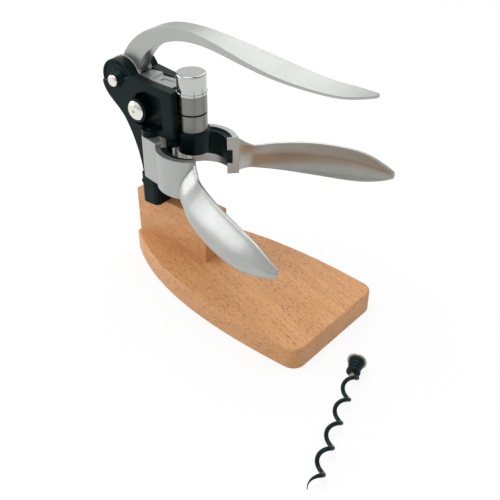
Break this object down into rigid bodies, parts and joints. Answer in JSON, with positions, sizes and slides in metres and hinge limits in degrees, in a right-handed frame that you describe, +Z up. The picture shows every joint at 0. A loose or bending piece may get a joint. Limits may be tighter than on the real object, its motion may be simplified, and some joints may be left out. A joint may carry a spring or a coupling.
{
  "type": "lever corkscrew on stand",
  "caption": "Lever corkscrew with geared swing lever, sliding barrel carriage and two hinged clamp grips, set on a tongue-shaped wooden stand with a loose screw worm beside it.",
  "frame": {"origin": "on the floor plane under the axis of the barrel, which the cork and worm share", "axes": "+Z up along the barrel, +X forward along the stand, the way the lever and the grips reach, +Y to the left grip"},
  "size_m": [0.2504, 0.1959, 0.182],
  "materials": {
    "beech": "sanded, thin clear oil",
    "dowel_wood": "raw turned wood",
    "frame_black": "moulded, low sheen",
    "satin_silver": "satin, bead-blasted cast metal",
    "satin_steel": "satin turned steel",
    "chrome": "polished plate",
    "rubber_black": "soft, matt",
    "worm_black": "slick low-friction black coating",
    "plug_black": "moulded, ribbed",
    "brass": "turned"
  },
  "bodies": {
    "stand": {"stand_base": "beech", "stand_block": "beech", "stand_dowel": "dowel_wood", "stand_screw_rear": "satin_steel", "stand_screw_front": "satin_steel"},
    "frame": {"left_frame": "frame_black", "right_frame": "frame_black", "foot_bolt": "satin_steel", "lever_pin": "satin_steel", "left_guide_stud": "satin_steel", "right_guide_stud": "satin_steel", "left_hinge_pin": "satin_steel", "right_hinge_pin": "satin_steel", "nut_sleeve": "satin_steel", "guide_bush": "brass", "bumper_ring": "rubber_black"},
    "carriage": {"carriage": "satin_silver", "worm_socket": "brass", "barrel_cap": "chrome"},
    "lever": {"lever": "satin_silver", "drive_gear": "satin_steel", "left_washer": "satin_steel", "right_washer": "satin_steel"},
    "left_jaw": {"left_jaw": "satin_silver", "left_liner": "rubber_black"},
    "right_jaw": {"right_jaw": "satin_silver", "right_liner": "rubber_black"},
    "worm": {"worm_disc": "satin_steel", "worm_plug": "plug_black", "worm_shank": "brass", "worm_wire": "worm_black"}
  },
  "joints": [
    {"name": "tool_lift", "type": "slide", "parent": "stand", "child": "frame", "axis": [0, 0, 1], "range_m": [0, 0.08]},
    {"name": "lever_hinge", "type": "hinge", "parent": "frame", "child": "lever", "pos_m": [-0.054, 0, 0.139], "axis": [0, -1, 0], "range_deg": [0, 150]},
    {"name": "carriage_slide", "type": "slide", "parent": "frame", "child": "carriage", "axis": [0, 0, 1], "range_m": [0, 0.03142]},
    {"name": "left_jaw_hinge", "type": "hinge", "parent": "frame", "child": "left_jaw", "pos_m": [-0.0265, 0.0145, 0.09], "axis": [0, 0, -1], "range_deg": [0, 12]},
    {"name": "right_jaw_hinge", "type": "hinge", "parent": "frame", "child": "right_jaw", "pos_m": [-0.0265, -0.0145, 0.09], "axis": [0, 0, 1], "range_deg": [0, 12]},
    {"name": "worm_lift", "type": "slide", "parent": "stand", "child": "worm", "axis": [0, 0, 1], "range_m": [0, 0.05]}
  ],
  "couplings": [
    {"joint": "carriage_slide", "follows": "lever_hinge", "m_per_rad": 0.012}
  ]
}
